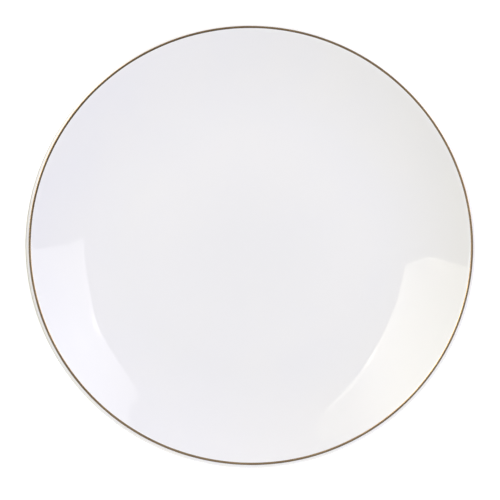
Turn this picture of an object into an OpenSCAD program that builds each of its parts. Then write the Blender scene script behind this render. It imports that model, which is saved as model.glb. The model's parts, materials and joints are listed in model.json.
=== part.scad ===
// China dinner plate: a coupe plate with no flat rim, white glazed, with a gold line on its lip.
// It stands on its foot ring at z = 0, centred on the Z axis. Every sub-part is turned about Z.
//
// One outline serves all four sub-parts. It is drawn at an inset: 0 is the glazed surface,
// glaze_thickness is the fired body under the glaze, and -gold_thickness is the top of the gold.

/* [Plate] */
// Diameter over the lip, in mm
plate_diameter = 270; // [260:1:280]
// Height of the lip above the table
plate_height = 25; // [23:0.5:29]
// Radius of the flat well, where the face starts to curve up
well_radius = 76; // [72:1:80]
// Thickness of the well, glaze included
well_thickness = 4.6; // [4.4:0.1:5.6]
// Radius of the rounded lip, outside its top
lip_radius = 2.1; // [1.8:0.1:2.4]
// Radius on which the lip rolls from its top into the face
roll_radius = 5; // [4:0.1:6]

/* [Foot ring] */
// Radius of the middle of the foot ring's contact face
foot_radius = 71; // [68:1:74]
// Width of the foot ring where it meets the table, before its edges are rounded
foot_width = 4.4; // [3.8:0.1:5.4]
// Height of the back above the table, just outside the foot ring
foot_height = 3.4; // [3.2:0.1:3.7]
// Height of the base above the table, inside the foot ring
recess_height = 3; // [2.9:0.1:3.4]
// Slope of the foot ring's two sides, in degrees from upright
foot_draft = 12; // [6:1:18]
// Radius of the fillets where the foot ring meets the back and the base
foot_fillet = 1.5; // [1:0.1:1.6]
// Radius of the rounded edges beside the contact face
foot_edge = 0.8; // [0.5:0.1:1]

/* [Glaze] */
// Thickness of the glaze coat
glaze_thickness = 0.3; // [0.2:0.05:0.4]
// Height on the foot ring where the glaze was wiped off
glaze_line = 1.2; // [1.1:0.1:1.4]

/* [Gold line] */
// Thickness of the gold line
gold_thickness = 0.1; // [0.1:0.02:0.2]
// How far the gold reaches over the top of the lip to the outside, in degrees
gold_outer_reach = 4; // [2:1:10]
// How far the gold reaches from the top of the lip to the inside, in degrees
gold_inner_reach = 15; // [10:1:20]

/* [Hidden] */

sweep_fn = 180;      // segments in one turn
wall_steps = 24;     // segments along the face, and along the back
lip_steps = 6;       // segments along each stretch of the lip
foot_steps = 6;      // segments along each fillet and edge of the foot ring

// The centres of the lip's two arcs, in the half section's [radius, height]
lip_centre = [plate_diameter / 2 - lip_radius, plate_height - lip_radius];
roll_centre = [lip_centre.x, plate_height - roll_radius];

// The face rises from the well on one arc that meets the roll smoothly
well_z = recess_height + well_thickness;
face_run = roll_centre.x - well_radius;
face_rise = roll_centre.y - well_z;
face_arc = (face_run ^ 2 + face_rise ^ 2 - roll_radius ^ 2) / (2 * (face_rise + roll_radius));
face_centre = [well_radius, well_z + face_arc];
face_angle = asin(face_run / (face_arc + roll_radius));

// The outer fillet springs from the foot's sloping side and ends level, where the back begins
fillet_lean = foot_fillet / cos(foot_draft);
outer_fillet = [
    foot_radius + foot_width / 2 + (foot_height - foot_fillet) * tan(foot_draft) + fillet_lean,
    foot_height - foot_fillet
];
inner_fillet = [
    foot_radius - foot_width / 2 - (recess_height - foot_fillet) * tan(foot_draft) - fillet_lean,
    recess_height - foot_fillet
];

// The back rises from the outer fillet on one arc that meets the lip smoothly
back_run = lip_centre.x - outer_fillet.x;
back_rise = lip_centre.y - foot_height;
back_arc = (back_run ^ 2 + back_rise ^ 2 - lip_radius ^ 2) / (2 * (back_rise - lip_radius));
back_centre = [outer_fillet.x, foot_height + back_arc];
back_angle = asin(back_run / (back_arc - lip_radius));

// Points along an arc, with both its ends; angles count from the radius axis towards +Z
function arc(centre, radius, from, to, steps) = [
    for (i = [0 : steps])
        let (angle = from + (to - from) * i / steps)
        centre + radius * [cos(angle), sin(angle)]
];

function reversed(path) = [for (i = [len(path) - 1 : -1 : 0]) path[i]];

// A stretch of the lip inside its top, and one outside it, at an inset from the glazed surface
function roll(inset, from, to) = arc(roll_centre, roll_radius - inset, from, to, lip_steps);
function lip(inset, from, to) = arc(lip_centre, lip_radius - inset, from, to, lip_steps);

// The part of the lip under the gold, from the inside over the top to the outside
function gold_path(inset) = concat(
    roll(inset, 90 + gold_inner_reach, 90),
    lip(inset, 90, 90 - gold_outer_reach)
);

// Radius of the foot's sloping side at a height; side is 1 outside the ring and -1 inside it
function foot_side(inset, z, side) =
    foot_radius + side * (foot_width / 2 + z * tan(foot_draft) - inset / cos(foot_draft));

// From the middle of the well over the lip, and down the back to the foot's outer glaze line
function outer_path(inset) = concat(
    [[0, well_z - inset]],
    arc(face_centre, face_arc + inset, -90, face_angle - 90, wall_steps),
    roll(inset, face_angle + 90, 90 + gold_inner_reach),
    gold_path(inset),
    lip(inset, 90 - gold_outer_reach, back_angle - 90),
    arc(back_centre, back_arc - inset, back_angle - 90, -90, wall_steps),
    arc(outer_fillet, foot_fillet + inset, 90, 180 - foot_draft, foot_steps),
    [[foot_side(inset, glaze_line, 1), glaze_line]]
);

// From the foot's inner glaze line up its side, and level to the middle of the base
function base_path(inset) = concat(
    [[foot_side(inset, glaze_line, -1), glaze_line]],
    arc(inner_fillet, foot_fillet + inset, foot_draft, 90, foot_steps),
    [[0, recess_height + inset]]
);

// The bare foot under the glaze line: a rounded edge on each side of the flat contact face
function foot_edge_arc(side) = let (
    side_x = foot_side(glaze_thickness, foot_edge, side),
    centre = [side_x - side * foot_edge / cos(foot_draft), foot_edge],
    from = side > 0 ? -foot_draft : foot_draft - 180
) arc(centre, foot_edge, from, -90, foot_steps);

module turned(points) {
    rotate_extrude($fn = sweep_fn) polygon(points);
}

// The fired body: well, wall and lip in one piece with the foot ring it stands on
module porcelain_body() {
    color("ivory") turned(concat(
        outer_path(glaze_thickness),
        foot_edge_arc(1),
        reversed(foot_edge_arc(-1)),
        base_path(glaze_thickness)
    ));
}

// The glaze over the face, the lip, the back and the outer side of the foot ring
module outer_glaze() {
    color("white") turned(concat(outer_path(0), reversed(outer_path(glaze_thickness))));
}

// The glaze inside the foot ring, parted from the rest by the bare contact face
module base_glaze() {
    color("whitesmoke") turned(concat(base_path(0), reversed(base_path(glaze_thickness))));
}

// The gold line, fired on to the glaze over the top of the lip
module gold_band() {
    color("darkgoldenrod") turned(concat(gold_path(-gold_thickness), reversed(gold_path(0))));
}

porcelain_body();
outer_glaze();
base_glaze();
gold_band();
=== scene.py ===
"""China dinner plate: a white glazed coupe plate with a gold line on its lip, on a pale table.

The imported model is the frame. The fired body, its two glaze coats and the gold line are turned
again here from the CAD model's own half section, finer, with what hand finishing leaves on
porcelain: a slight swell, a wavering wiped edge at the foot and a line banded by brush.
"""

import json
import math
import random

import bpy
import numpy as np
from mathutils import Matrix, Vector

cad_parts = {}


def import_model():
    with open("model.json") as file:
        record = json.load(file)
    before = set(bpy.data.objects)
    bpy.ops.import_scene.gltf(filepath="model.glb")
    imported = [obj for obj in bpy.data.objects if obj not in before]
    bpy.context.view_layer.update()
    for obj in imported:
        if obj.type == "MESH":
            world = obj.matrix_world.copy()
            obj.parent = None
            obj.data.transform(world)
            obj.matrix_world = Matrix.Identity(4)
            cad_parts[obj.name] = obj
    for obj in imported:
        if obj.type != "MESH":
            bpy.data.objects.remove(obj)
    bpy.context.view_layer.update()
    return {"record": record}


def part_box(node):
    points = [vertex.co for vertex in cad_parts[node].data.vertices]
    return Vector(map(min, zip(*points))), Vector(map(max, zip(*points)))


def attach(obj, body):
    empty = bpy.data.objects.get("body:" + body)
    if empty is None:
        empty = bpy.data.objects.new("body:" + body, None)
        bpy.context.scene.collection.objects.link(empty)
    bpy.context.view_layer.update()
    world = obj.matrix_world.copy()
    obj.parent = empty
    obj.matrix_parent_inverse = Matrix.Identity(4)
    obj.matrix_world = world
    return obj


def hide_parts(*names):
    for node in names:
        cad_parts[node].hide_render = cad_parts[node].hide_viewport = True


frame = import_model()


# ---------------------------------------------------------------- sizes, in metres and radians

def mount_place(name):
    return next(m["pos_m"] for m in frame["record"]["mounts"] if m["name"] == name)


glaze_low, glaze_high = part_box("outer_glaze")
base_low, base_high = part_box("base_glaze")
body_low, body_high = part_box("porcelain_body")
gold_low, gold_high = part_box("gold_band")

PLATE_RADIUS = glaze_high.x
PLATE_HEIGHT = glaze_high.z
WELL_Z = mount_place("well_floor")[2]
FOOT_RADIUS = mount_place("foot_rest")[0]
GLAZE = PLATE_HEIGHT - body_high.z
GOLD = gold_high.z - PLATE_HEIGHT
GLAZE_LINE = glaze_low.z
RECESS = base_high.z - GLAZE

# driving dimensions of the CAD model that its boxes don't give
WELL_RADIUS = 0.076
LIP_RADIUS = 0.0021
ROLL_RADIUS = 0.005
FOOT_WIDTH = 0.0044
FOOT_HEIGHT = 0.0034
FOOT_DRAFT = math.radians(12)
FOOT_FILLET = 0.0015
FOOT_EDGE = 0.0008
GOLD_OUTER_REACH = math.radians(4)
GOLD_INNER_REACH = math.radians(15)

SEGMENTS = 384  # round the plate
QUARTER = math.pi / 2

LIP = np.array([PLATE_RADIUS - LIP_RADIUS, PLATE_HEIGHT - LIP_RADIUS])
ROLL = np.array([LIP[0], PLATE_HEIGHT - ROLL_RADIUS])

face_run, face_rise = ROLL - (WELL_RADIUS, WELL_Z)
FACE_ARC = (face_run**2 + face_rise**2 - ROLL_RADIUS**2) / (2 * (face_rise + ROLL_RADIUS))
FACE_CENTRE = np.array([WELL_RADIUS, WELL_Z + FACE_ARC])
FACE_ANGLE = math.asin(face_run / (FACE_ARC + ROLL_RADIUS))

fillet_lean = FOOT_FILLET / math.cos(FOOT_DRAFT)
OUTER_FILLET = np.array([
    FOOT_RADIUS + FOOT_WIDTH / 2 + (FOOT_HEIGHT - FOOT_FILLET) * math.tan(FOOT_DRAFT) + fillet_lean,
    FOOT_HEIGHT - FOOT_FILLET,
])
INNER_FILLET = np.array([
    FOOT_RADIUS - FOOT_WIDTH / 2 - (RECESS - FOOT_FILLET) * math.tan(FOOT_DRAFT) - fillet_lean,
    RECESS - FOOT_FILLET,
])

back_run, back_rise = LIP - (OUTER_FILLET[0], FOOT_HEIGHT)
BACK_ARC = (back_run**2 + back_rise**2 - LIP_RADIUS**2) / (2 * (back_rise - LIP_RADIUS))
BACK_CENTRE = np.array([OUTER_FILLET[0], FOOT_HEIGHT + BACK_ARC])
BACK_ANGLE = math.asin(back_run / (BACK_ARC - LIP_RADIUS))


# ---------------------------------------------------------------- the half section

def arc(centre, radius, start, end, steps):
    """Points along an arc; angles count from the radius axis towards +Z."""
    t = np.linspace(start, end, steps + 1)[:, None]
    return np.asarray(centre) + radius * np.hstack([np.cos(t), np.sin(t)])


def line(a, b, steps):
    """Points evenly along a straight line, with both its ends."""
    t = np.linspace(0, 1, steps + 1)[:, None]
    return np.asarray(a) * (1 - t) + np.asarray(b) * t


def joined(*paths):
    """The paths end to end, without the points they share."""
    points = [np.asarray(paths[0][0], float)]
    for path in paths:
        for p in path:
            if np.linalg.norm(p - points[-1]) > 1e-6:
                points.append(np.asarray(p, float))
    return np.array(points)


def foot_side(inset, z, side):
    """Radius of the foot's sloping side at a height; side is 1 outside the ring, -1 inside it."""
    reach = FOOT_WIDTH / 2 + z * math.tan(FOOT_DRAFT) - inset / math.cos(FOOT_DRAFT)
    return FOOT_RADIUS + side * reach


def face_and_back(inset, fine):
    """From the middle of the well over the lip, down the back and into the foot's outer side."""
    return joined(
        line((0, WELL_Z - inset), (WELL_RADIUS, WELL_Z - inset), round(24 * fine)),
        arc(FACE_CENTRE, FACE_ARC + inset, -QUARTER, FACE_ANGLE - QUARTER, round(44 * fine)),
        arc(ROLL, ROLL_RADIUS - inset, FACE_ANGLE + QUARTER, QUARTER, round(16 * fine)),
        arc(LIP, LIP_RADIUS - inset, QUARTER, BACK_ANGLE - QUARTER, round(32 * fine)),
        arc(BACK_CENTRE, BACK_ARC - inset, BACK_ANGLE - QUARTER, -QUARTER, round(36 * fine)),
        arc(OUTER_FILLET, FOOT_FILLET + inset, QUARTER, math.pi - FOOT_DRAFT, round(12 * fine)),
    )


def base_inside(inset, fine):
    """From the middle of the base out to the inner fillet, and into the foot's inner side."""
    return joined(
        line((0, RECESS + inset), (INNER_FILLET[0], RECESS + inset), round(24 * fine)),
        arc(INNER_FILLET, FOOT_FILLET + inset, QUARTER, FOOT_DRAFT, round(12 * fine)),
    )


def foot_edge_arc(side):
    """The rounded edge of the bare foot, on the outside (side 1) or the inside (side -1)."""
    centre = (foot_side(GLAZE, FOOT_EDGE, side) - side * FOOT_EDGE / math.cos(FOOT_DRAFT), FOOT_EDGE)
    start = -FOOT_DRAFT if side > 0 else FOOT_DRAFT - math.pi
    return arc(centre, FOOT_EDGE, start, -QUARTER, 10)


# ---------------------------------------------------------------- unevenness

def gentle_waves(seed, count, shortest, longest):
    """Gentle waves across the plate: direction, waves per metre and phase of each."""
    rng = random.Random(seed)
    waves = []
    for _ in range(count):
        length = rng.uniform(shortest, longest)
        waves.append((rng.uniform(0, 2 * math.pi), 2 * math.pi / length, rng.uniform(0, 2 * math.pi)))
    return waves


def swell(waves, x, y):
    """The waves added up at points x, y, between about -1 and 1."""
    total = np.zeros_like(x)
    for turn, rate, phase in waves:
        total += np.sin(rate * (x * math.cos(turn) + y * math.sin(turn)) + phase)
    return total / math.sqrt(len(waves))


FORM_WAVES = gentle_waves(seed=11, count=9, shortest=0.045, longest=0.12)
FORM_SWELL = 0.00005   # how far the fired clay strays from its true shape
STILL_MIDDLE = 0.03    # radius inside which it doesn't
SWELL_GROWS = 0.04     # distance over which the swell grows from there
STILL_LIP = 0.006      # distance over which it dies away towards the lip
STILL_FOOT = 0.001     # height over the foot by which it is there in full


def uneven(points):
    """Moves points above the foot a little up or down, as drying and firing do."""
    x, y, z = points.T
    r = np.hypot(x, y)
    off_middle = np.clip((r - STILL_MIDDLE) / SWELL_GROWS, 0, 1)
    off_lip = np.clip((PLATE_RADIUS - r) / STILL_LIP, 0, 1)
    off_foot = np.clip((z - FOOT_HEIGHT) / STILL_FOOT, 0, 1)
    moved = points.copy()
    moved[:, 2] += FORM_SWELL * swell(FORM_WAVES, x, y) * (off_middle * off_lip) * off_foot
    return moved


def wander(seed, slowest, quickest, size):
    """A wobble round the plate, one value per segment, from slow and quick waves."""
    rng = random.Random(seed)
    turn = np.linspace(0, 2 * math.pi, SEGMENTS, endpoint=False)
    total = np.zeros(SEGMENTS)
    for rate in range(slowest, quickest + 1):
        total += rng.uniform(0.5, 1) / rate**0.5 * np.sin(rate * turn + rng.uniform(0, 2 * math.pi))
    return size * total / np.abs(total).max()


# ---------------------------------------------------------------- meshes

def round_the_plate(path):
    """The same path of [radius, height] at every segment, as two arrays of points by segments."""
    path = np.asarray(path)
    return np.repeat(path[:, :1], SEGMENTS, 1), np.repeat(path[:, 1:], SEGMENTS, 1)


def turned(name, rings, closed, shape=None):
    """A mesh turned about Z. rings holds radius and height, each by point and by segment.

    A ring of radius 0 becomes one pole. A closed one joins its last ring to its first.
    """
    radius, height = rings
    angle = np.linspace(0, 2 * math.pi, SEGMENTS, endpoint=False)
    verts, loops = [], []
    for r, z in zip(radius, height):
        start = len(verts)
        if r.max() < 1e-7:
            loops.append([start])
            verts.append((0.0, 0.0, z[0]))
        else:
            loops.append(list(range(start, start + SEGMENTS)))
            verts.extend(zip(r * np.cos(angle), r * np.sin(angle), z))
    pairs = list(zip(loops, loops[1:]))
    if closed:
        pairs.append((loops[-1], loops[0]))
    faces = []
    for a, b in pairs:
        for i in range(SEGMENTS):
            j = (i + 1) % SEGMENTS
            if len(a) == 1:
                faces.append((a[0], b[i], b[j]))
            elif len(b) == 1:
                faces.append((a[j], a[i], b[0]))
            else:
                faces.append((a[j], a[i], b[i], b[j]))
    points = np.array(verts)
    if shape:
        points = shape(points)
    mesh = bpy.data.meshes.new(name)
    mesh.from_pydata(points.tolist(), [], faces)
    mesh.validate()
    mesh.shade_smooth()
    piece = bpy.data.objects.new(name, mesh)
    bpy.context.scene.collection.objects.link(piece)
    return piece


def placed(piece, node, material):
    """Puts a piece in the place of a CAD node, with its material."""
    piece.data.materials.append(material)
    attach(piece, "root")
    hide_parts(node)
    return piece


# ---------------------------------------------------------------- node building

class Nodes:
    """A node tree, with short ways to add the nodes that this scene needs."""

    def __init__(self, owner):
        owner.use_nodes = True
        self.tree = owner.node_tree
        self.tree.nodes.clear()

    def add(self, kind, **settings):
        node = self.tree.nodes.new(kind)
        for name, value in settings.items():
            setattr(node, name, value)
        return node

    def feed(self, value, socket):
        """Links a socket to another node's output, or sets it to a number or a colour."""
        if isinstance(value, bpy.types.NodeSocket):
            self.tree.links.new(value, socket)
        elif isinstance(value, tuple):
            socket.default_value = (*value, 1) if socket.type == "RGBA" else value
        else:
            socket.default_value = value

    def math(self, operation, a, b=0.0):
        """One of Blender's Math operations on two values."""
        node = self.add("ShaderNodeMath", operation=operation)
        self.feed(a, node.inputs[0])
        self.feed(b, node.inputs[1])
        return node.outputs[0]

    def add_up(self, *values):
        total = values[0]
        for value in values[1:]:
            total = self.math("ADD", total, value)
        return total

    def times(self, a, b):
        return self.math("MULTIPLY", a, b)

    def plus(self, colour, gain, value):
        """The colour plus a gain, also one number for each of red, green and blue, times a value."""
        node = self.add("ShaderNodeVectorMath", operation="MULTIPLY_ADD")
        for part, socket in zip((value, gain, colour), node.inputs):
            self.feed(part, socket)
        return node.outputs[0]

    def split(self, vector):
        """The x, y and z of a vector."""
        node = self.add("ShaderNodeSeparateXYZ")
        self.feed(vector, node.inputs["Vector"])
        return tuple(node.outputs[axis] for axis in "XYZ")

    def spread(self, value, low, high, to_low=0.0, to_high=1.0):
        """Maps low..high smoothly to to_low..to_high, and holds the ends."""
        node = self.add("ShaderNodeMapRange", interpolation_type="SMOOTHSTEP")
        self.feed(low, node.inputs["From Min"])
        self.feed(high, node.inputs["From Max"])
        self.feed(to_low, node.inputs["To Min"])
        self.feed(to_high, node.inputs["To Max"])
        self.feed(value, node.inputs["Value"])
        return node.outputs["Result"]

    def mix(self, factor, a, b):
        """Colour a where the factor is 0, and b where it is 1."""
        node = self.add("ShaderNodeMix", data_type="RGBA")
        for value, socket in ((factor, node.inputs[0]), (a, node.inputs[6]), (b, node.inputs[7])):
            self.feed(value, socket)
        return node.outputs[2]


class Finish(Nodes):
    """A material for the plate, with the patterns that its finishes are made of."""

    def __init__(self, name):
        self.material = bpy.data.materials.new(name)
        super().__init__(self.material)
        self.shader = self.add("ShaderNodeBsdfPrincipled")
        output = self.add("ShaderNodeOutputMaterial")
        self.feed(self.shader.outputs["BSDF"], output.inputs["Surface"])
        self.place = self.add("ShaderNodeTexCoord").outputs["Object"]
        self.x, self.y, self.z = self.split(self.place)
        self.radius = self.math("SQRT", self.add_up(self.times(self.x, self.x), self.times(self.y, self.y)))

    def noise(self, scale, detail=2.0, roughness=0.5, place=None):
        node = self.add("ShaderNodeTexNoise")
        self.feed(scale, node.inputs["Scale"])
        self.feed(detail, node.inputs["Detail"])
        self.feed(roughness, node.inputs["Roughness"])
        self.feed(place or self.place, node.inputs["Vector"])
        return node.outputs["Fac"]

    def spots(self, per_metre, share, size):
        """Small round spots, 1 inside and 0 outside, in a share of the cells of a Voronoi pattern."""
        cells = self.add("ShaderNodeTexVoronoi")
        self.feed(float(per_metre), cells.inputs["Scale"])
        self.feed(self.place, cells.inputs["Vector"])
        chosen = self.math("LESS_THAN", cells.outputs["Color"], share)
        reach = size * per_metre
        near = self.spread(cells.outputs["Distance"], 0.5 * reach, reach, 1, 0)
        return self.times(near, chosen)

    def bumps(self, *layers):
        """Bump nodes in a row, each a height and the height in metres that 1 stands for."""
        normal = None
        for height, depth in layers:
            node = self.add("ShaderNodeBump")
            self.feed(depth, node.inputs["Distance"])
            self.feed(height, node.inputs["Height"])
            if normal:
                self.feed(normal, node.inputs["Normal"])
            normal = node.outputs["Normal"]
        self.feed(normal, self.shader.inputs["Normal"])


# ---------------------------------------------------------------- materials

def glaze_material():
    """Clear gloss glaze over white porcelain: greyer towards the middle of the well, cooler
    where it pools round the well, warmer where it runs thin on the lip, with a rare iron speck."""
    m = Finish("glazed_porcelain")
    white, cloud, greyer_middle = (0.852, 0.850, 0.878), (0.860, 0.856, 0.876), (0.828, 0.828, 0.854)
    thin, pooled, speck = (0.865, 0.845, 0.815), (0.842, 0.848, 0.884), (0.62, 0.54, 0.44)
    pool_middle, pool_reach = WELL_RADIUS + 0.008, 0.018
    thin_reach = 0.004

    tint = m.mix(m.spread(m.noise(24, 3), 0.35, 0.65), white, cloud)
    # greyer towards the middle of the well
    tint = m.mix(m.spread(m.radius, 0.01, 0.07, 0.7, 0), tint, greyer_middle)
    off_pool = m.math("ABSOLUTE", m.math("SUBTRACT", m.radius, pool_middle))
    tint = m.mix(m.spread(off_pool, 0, pool_reach, 0.2, 0), tint, pooled)
    runs_thin = m.spread(m.radius, PLATE_RADIUS - thin_reach, PLATE_RADIUS, 0, 0.8)
    tint = m.mix(m.times(runs_thin, m.spread(m.noise(90, 2), 0.3, 0.6)), tint, thin)
    tint = m.mix(m.times(m.spots(60, 0.03, 0.00035), 0.7), tint, speck)
    m.feed(tint, m.shader.inputs["Base Color"])

    m.feed(m.spread(m.noise(70, 3), 0.3, 0.7, 0.012, 0.04), m.shader.inputs["Roughness"])
    m.feed(1.52, m.shader.inputs["IOR"])
    m.bumps(
        (m.noise(120, 1), 0.00001),
        (m.noise(700, 2), 0.000001),
        (m.spots(150, 0.05, 0.0002), -0.00003),
    )
    return m.material


def bisque_material():
    """Bare fired clay where the foot meets the table: matt, fine grained, scuffed by use."""
    m = Finish("bare_porcelain")
    clay, dusty, scuff = (0.78, 0.745, 0.68), (0.71, 0.67, 0.60), (0.42, 0.40, 0.38)

    tint = m.mix(m.spread(m.noise(180, 4), 0.35, 0.65), clay, dusty)
    tint = m.mix(m.times(m.spots(1500, 0.08, 0.00018), 0.5), tint, scuff)
    touching = m.spread(m.z, 0.00002, 0.00025, 1, 0)
    rubbed = m.times(touching, m.spread(m.noise(420, 3), 0.5, 0.7, 0, 0.55))
    m.feed(m.mix(rubbed, tint, scuff), m.shader.inputs["Base Color"])

    m.feed(m.spread(m.noise(600, 3), 0.3, 0.7, 0.6, 0.85), m.shader.inputs["Roughness"])
    sponge_ring = 0.0004  # width of the rings that wiping on the wheel leaves
    rings = m.math("SINE", m.times(m.radius, 2 * math.pi / sponge_ring))
    m.bumps((m.noise(3200, 3), 0.00006), (rings, 0.000008))
    return m.material


def gold_material():
    """Bright gold fired from a brush: streaks run along the line, thin and dull in places."""
    m = Finish("fired_gold")
    full, thin = (0.91, 0.68, 0.44), (0.73, 0.53, 0.35)
    streaks_round, streaks_across = 8.0, 5000.0  # noise cells per radian, and per metre of radius

    along = m.add("ShaderNodeCombineXYZ")
    m.feed(m.times(m.math("ARCTAN2", m.y, m.x), streaks_round), along.inputs[0])
    m.feed(m.times(m.radius, streaks_across), along.inputs[1])
    streaks = m.noise(1.0, 3, 0.6, along.outputs[0])
    worn = m.times(streaks, m.noise(55, 2))

    m.feed(m.mix(m.spread(worn, 0.15, 0.35), thin, full), m.shader.inputs["Base Color"])
    m.feed(1.0, m.shader.inputs["Metallic"])
    m.feed(m.spread(streaks, 0.3, 0.7, 0.22, 0.1), m.shader.inputs["Roughness"])
    m.bumps((streaks, 0.000006), (m.noise(900, 2), 0.000003))
    return m.material


# ---------------------------------------------------------------- the plate

LINE_WOBBLE = 0.00012  # how far the wiped edge of the glaze wavers up the foot
outer_wipe = GLAZE_LINE + LINE_WOBBLE + wander(3, 2, 14, LINE_WOBBLE)
inner_wipe = GLAZE_LINE + LINE_WOBBLE + wander(4, 2, 14, LINE_WOBBLE)


def glaze_bead(side, wipe_line, steps=8):
    """The coat's rounded end on the foot's side, from its outer surface round to the clay."""
    t = np.linspace(0, math.pi, steps + 1)[:, None]
    height = wipe_line[None, :] + GLAZE / 2 * (1 - np.sin(t))
    inset = GLAZE / 2 * (1 - np.cos(t))
    return foot_side(inset, height, side), height


def stacked(*rings):
    """Several arrays of radius and height, one after the other along the section."""
    return np.vstack([r for r, _ in rings]), np.vstack([z for _, z in rings])


def fired_body(material):
    """The fired clay, whole, from the well over the lip and round the bare foot to the base."""
    path = joined(
        face_and_back(GLAZE, 0.4), foot_edge_arc(1), foot_edge_arc(-1)[::-1],
        base_inside(GLAZE, 0.4)[::-1],
    )
    piece = turned("fired_body", round_the_plate(path), False, uneven)
    return placed(piece, "porcelain_body", material)


def outer_glaze_coat(material):
    """The coat from the well over the lip to the wiped edge outside the foot, and back beneath."""
    rings = stacked(
        round_the_plate(face_and_back(0.0, 1.0)),
        glaze_bead(1, outer_wipe),
        round_the_plate(face_and_back(GLAZE, 0.4)[::-1]),
    )
    piece = turned("outer_glaze_coat", rings, False, uneven)
    return placed(piece, "outer_glaze", material)


def base_glaze_coat(material):
    """The coat inside the foot ring, out to its own wiped edge."""
    rings = stacked(
        round_the_plate(base_inside(GLAZE, 0.5)),
        tuple(part[::-1] for part in glaze_bead(-1, inner_wipe)),
        round_the_plate(base_inside(0.0, 1.0)[::-1]),
    )
    return placed(turned("base_glaze_coat", rings, False), "base_glaze", material)


GOLD_OFF_CENTRE = 0.00008  # the plate sat this far off the middle of the banding wheel,
GOLD_WAVER = 0.00004       # the brush wavered this far to either side,
GOLD_SPREAD = 0.00003      # and the gold ran this far on each side
GOLD_RISE = 0.3 * GOLD     # the film stands this proud of the glaze,
GOLD_SINK = 0.00001        # and its underside lies this far under the glaze's surface


def gold_line(material, steps=12):
    """The gold over the top of the lip: a low rounded film with wavering edges.

    It is laid out by the distance along the lip from its top, which counts outwards.
    """
    outer, inner = GOLD_OUTER_REACH * LIP_RADIUS, GOLD_INNER_REACH * ROLL_RADIUS
    turn = np.linspace(0, 2 * math.pi, SEGMENTS, endpoint=False)
    middle = (outer - inner) / 2 + GOLD_OFF_CENTRE * np.cos(turn) + wander(8, 2, 24, GOLD_WAVER)
    half = (outer + inner) / 2 + GOLD_SPREAD + wander(7, 3, 40, GOLD_WAVER)
    across = np.linspace(-1, 1, steps + 1)[:, None]
    from_top = middle + half * across
    lift = GOLD_RISE * (1 - across**6) - GOLD_SINK * across**6
    over = np.broadcast_to(lift, from_top.shape)
    under = np.full_like(from_top, -GOLD_SINK)[1:-1]
    lifts = np.vstack([over, under])
    from_top = np.vstack([from_top, from_top[-2:0:-1]])

    arc_radius = np.where(from_top > 0, LIP_RADIUS, ROLL_RADIUS)
    tilt = from_top / arc_radius
    reach = arc_radius + lifts
    rings = LIP[0] + reach * np.sin(tilt), PLATE_HEIGHT - arc_radius + reach * np.cos(tilt)
    return placed(turned("gold_line", rings, True, uneven), "gold_band", material)


glaze_finish = glaze_material()
fired_body(bisque_material())
outer_glaze_coat(glaze_finish)
base_glaze_coat(glaze_finish)
gold_line(gold_material())


# ---------------------------------------------------------------- the studio

def stage_sheet(name, points, faces, material):
    """Flat faces of the studio, which aren't part of the object."""
    mesh = bpy.data.meshes.new(name)
    mesh.from_pydata(points, [], faces)
    mesh.materials.append(material)
    sheet = bpy.data.objects.new(name, mesh)
    bpy.context.scene.collection.objects.link(sheet)
    return sheet


def rounded(corners, steps=8):
    """An outline through corners of (y, z, reach): each is bent from reach before it to reach after."""
    outline = []
    for i, (y, z, reach) in enumerate(corners):
        corner = np.array([y, z])
        to_last = np.array(corners[i - 1][:2]) - corner
        to_next = np.array(corners[(i + 1) % len(corners)][:2]) - corner
        start = corner + reach * to_last / np.linalg.norm(to_last)
        end = corner + reach * to_next / np.linalg.norm(to_next)
        for t in np.linspace(0, 1, steps + 1) if reach else [0]:
            outline.append((1 - t)**2 * start + 2 * t * (1 - t) * corner + t**2 * end)
    return outline


SOFT_SHARE = 0.5  # how strong the panels are as lights, beside how they show in what is shiny


class Glow(Nodes):
    """A light panel's emission: an even level, with soft bright parts placed by y and z."""

    def __init__(self, name, colour):
        self.material = bpy.data.materials.new(name)
        super().__init__(self.material)
        self.emission = self.add("ShaderNodeEmission")
        self.feed(colour, self.emission.inputs["Color"])
        output = self.add("ShaderNodeOutputMaterial")
        self.feed(self.emission.outputs["Emission"], output.inputs["Surface"])
        _, self.y, self.z = self.split(self.add("ShaderNodeTexCoord").outputs["Object"])

    def distance(self, value, middle, width):
        """The square of how many widths a value lies from the middle."""
        off = self.math("DIVIDE", self.math("SUBTRACT", value, middle), width)
        return self.times(off, off)

    def soft(self, strength, distance):
        """The strength at no distance, dying away like a bell curve."""
        return self.times(self.math("EXPONENT", self.times(distance, -1.0)), strength)

    def band(self, strength, y, width):
        """A bright upright band."""
        return self.soft(strength, self.distance(self.y, y, width))

    def patch(self, strength, y, y_width, z, z_width):
        """A bright oval patch."""
        off = self.add_up(self.distance(self.y, y, y_width), self.distance(self.z, z, z_width))
        return self.soft(strength, off)

    def shine(self, *parts):
        """Adds up the parts; matt surfaces get a share of what shiny ones see."""
        shiny = self.add("ShaderNodeLightPath").outputs["Is Glossy Ray"]
        strength = self.times(self.add_up(*parts), self.spread(shiny, 0, 1, SOFT_SHARE, 1))
        self.feed(strength, self.emission.inputs["Strength"])
        return self.material


def softbox(name, x, corners, material):
    """A standing light panel at x, which lights the plate and shows in its glaze."""
    outline = [(x, y, z) for y, z in rounded(corners)]
    stage_sheet(name, outline, [range(len(outline))], material).visible_camera = False


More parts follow.
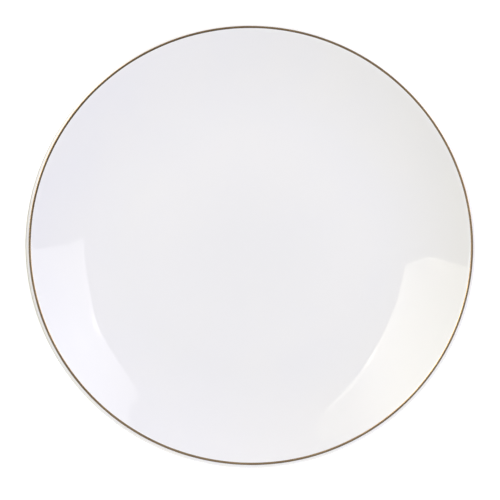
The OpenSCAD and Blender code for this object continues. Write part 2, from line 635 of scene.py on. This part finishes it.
def left_light():
    """A tall, warm panel, brightest a third of the way along, with a bright seam at its top edge."""
    glow = Glow("left_light", (1.0, 0.965, 0.80))
    lamp = glow.band(1.9, 0.66, 0.45)
    hot_spot = glow.patch(2.8, 0.86, 0.06, 1.97, 0.13)
    seam = glow.patch(1.5, 1.22, 0.45, 1.90, 0.08)
    near_edge = glow.patch(0.8, 0.20, 0.03, 0.90, 0.35)
    shine = glow.shine(1.1, lamp, hot_spot, seam, near_edge)
    corners = [
        (0.174, 0.12, 0), (0.176, 0.84, 0.38), (0.408, 2.13, 0.03), (0.90, 2.09, 0.05),
        (1.02, 2.04, 0.05), (1.22, 2.06, 0.08), (1.53, 2.02, 0.10), (1.75, 1.94, 0.10),
        (2.06, 1.70, 0.20), (2.02, 1.15, 0.20), (1.46, 0.66, 0.20), (0.95, 0.40, 0.10),
        (0.90, 0.12, 0),
    ]
    softbox("left_softbox", -0.5, corners, shine)


def right_light():
    """A lower, neutral panel, with a step in its top edge and a notch in its far end."""
    glow = Glow("right_light", (0.99, 0.97, 1.0))
    lamp = glow.band(1.35, 0.47, 0.30)
    hot_spot = glow.patch(3.0, 0.46, 0.03, 1.10, 0.07)
    pale_spot = glow.patch(0.5, 0.43, 0.07, 0.66, 0.10)
    shine = glow.shine(1.0, lamp, hot_spot, pale_spot)
    corners = [
        (0.131, 0.12, 0), (0.131, 0.45, 0.25), (0.197, 1.225, 0.03), (0.365, 1.285, 0.08),
        (0.455, 1.15, 0.04), (0.79, 1.11, 0.04), (0.90, 1.05, 0.05), (0.895, 0.87, 0.05),
        (0.84, 0.68, 0.05), (0.91, 0.46, 0.05), (0.90, 0.12, 0),
    ]
    softbox("right_softbox", 0.5, corners, shine)


TABLE_HALF = 20.0         # half the side of the table
TABLE_WHITE = 1.9         # more than white: round the plate the table is over-exposed, a painted pool of light further off it is painted pale grey, where that painted light falls off,
TABLE_FAR = 0.85          # further off it is pale grey,
FADE_OUT = (0.24, 0.6)    # between these distances from the middle
TABLE_PAINTED_SHADOW = 0.5         # painted shadow: under the plate, from the foot out to the lip, the table is painted a mid grey
TABLE_BOUNCE = 1.4        # how white it is to the plate, where it throws light back on the lip,
PAINTED_SHADE_LEFT = 0.02        # but for a wedge to the left, painted dark to it as a painted shade: full where
LEFT_WEDGE = (-0.96, -0.80)  # x over radius is the first of these, and gone at the second


def table():
    """A pale table, over-exposed round the plate, with a painted shadow under the plate and a painted shade
    to its left, where it throws back hardly any light.

    What it is to the camera and what it is to the plate differ, so its light can be set by itself.
    """
    material = bpy.data.materials.new("table")
    n = Nodes(material)
    x, y, _ = n.split(n.add("ShaderNodeTexCoord").outputs["Object"])
    radius = n.math("SQRT", n.add_up(n.times(x, x), n.times(y, y)))
    to_right = n.math("DIVIDE", x, radius)
    # painted shade: to the plate, a wedge of the table to its left is dark, where the plate's shadow would
    # lie
    bounce = n.spread(to_right, *LEFT_WEDGE, PAINTED_SHADE_LEFT, TABLE_BOUNCE)
    # painted pool of light: over-white round the plate, painted greyer further off
    pale = n.spread(radius, *FADE_OUT, TABLE_WHITE, TABLE_FAR)
    level = n.mix(n.add("ShaderNodeLightPath").outputs["Is Camera Ray"], bounce, pale)
    # painted shadow: under the plate the table is painted a mid grey, both to the camera and to the plate
    under = n.spread(radius, PLATE_RADIUS - 0.02, PLATE_RADIUS - 0.003, 1, 0)
    level = n.mix(under, level, (TABLE_PAINTED_SHADOW, TABLE_PAINTED_SHADOW, TABLE_PAINTED_SHADOW))
    surface = n.add("ShaderNodeBsdfDiffuse")
    n.feed(level, surface.inputs["Color"])
    output = n.add("ShaderNodeOutputMaterial")
    n.feed(surface.outputs["BSDF"], output.inputs["Surface"])
    h = TABLE_HALF
    stage_sheet("table", [(-h, -h, 0), (h, -h, 0), (h, h, 0), (-h, h, 0)], [range(4)], material)


# the soft sky that lights what is matt, in red, green and blue
SKY = (1.060, 1.058, 1.083)           # its level overhead,
SKY_TO_RIGHT = (0.141, 0.148, 0.31)   # and what it gains from the middle to the right,
SKY_TO_BACK = (0.20, 0.20, 0.25)      # to the back,
SKY_TO_ENDS = (0.74, 0.74, 0.85)      # and to front and back alike, which it loses to the sides

# what shows in the glaze and the gold where no panel does
CEILING = 0.18            # overhead,
CEILING_TO_RIGHT = -1.6   # which falls to the right by this share of itself,
CEILING_TO_BACK = 1.5     # and grows to the back by this one,
CEILING_LEAST = 0.1       # but never falls below this one
HORIZON = 0.8             # low down
LEFT_DARK = 0.15          # the share of both that is left at the far left

BACKDROP = (0.86, 0.86, 0.86)  # behind the table, as the camera sees it


def world():
    """A pale backdrop, a soft sky on the plate, and a dim ceiling in what is shiny."""
    made = bpy.data.worlds.new("studio")
    bpy.context.scene.world = made
    n = Nodes(made)
    path = n.add("ShaderNodeLightPath")
    x, y, z = n.split(n.add("ShaderNodeTexCoord").outputs["Generated"])
    soft = n.plus(SKY, SKY_TO_RIGHT, x)
    soft = n.plus(soft, SKY_TO_BACK, y)
    soft = n.plus(soft, SKY_TO_ENDS, n.math("SUBTRACT", n.times(y, y), n.times(x, x)))
    slant = n.add_up(1.0, n.times(x, CEILING_TO_RIGHT), n.times(y, CEILING_TO_BACK))
    ceiling = n.times(n.math("MAXIMUM", slant, CEILING_LEAST), CEILING)
    low_to_high = n.spread(z, 0.02, 0.25, HORIZON, ceiling)
    shiny = n.times(low_to_high, n.spread(x, -0.9, -0.3, LEFT_DARK, 1))
    sky = n.mix(path.outputs["Is Glossy Ray"], soft, shiny)
    sky = n.mix(path.outputs["Is Camera Ray"], sky, BACKDROP)
    glow = n.add("ShaderNodeBackground")
    n.feed(sky, glow.inputs["Color"])
    output = n.add("ShaderNodeOutputWorld")
    n.feed(glow.outputs["Background"], output.inputs["Surface"])


left_light()
right_light()
table()
world()


# ---------------------------------------------------------------- the camera

CAMERA_FRONT = math.radians(8.9)  # how far the camera leans to the front from straight overhead
CAMERA_LEFT = math.radians(1.2)   # and to the left
CAMERA_DISTANCE = 1.1954
CAMERA_LENS = 144                 # in millimetres, on a sensor of
CAMERA_SENSOR = 36
AIM = np.array([-0.00072, -0.00506, PLATE_HEIGHT])

towards_camera = np.array([
    -math.cos(CAMERA_FRONT) * math.sin(CAMERA_LEFT),
    -math.sin(CAMERA_FRONT),
    math.cos(CAMERA_FRONT) * math.cos(CAMERA_LEFT),
])
camera = bpy.data.objects.new("camera", bpy.data.cameras.new("camera"))
bpy.context.scene.collection.objects.link(camera)
camera.location = AIM + towards_camera * CAMERA_DISTANCE
camera.rotation_euler = (CAMERA_FRONT, -CAMERA_LEFT, 0)
camera.data.lens = CAMERA_LENS
camera.data.sensor_width = CAMERA_SENSOR
bpy.context.scene.camera = camera

bpy.context.scene.view_settings.view_transform = "Standard"
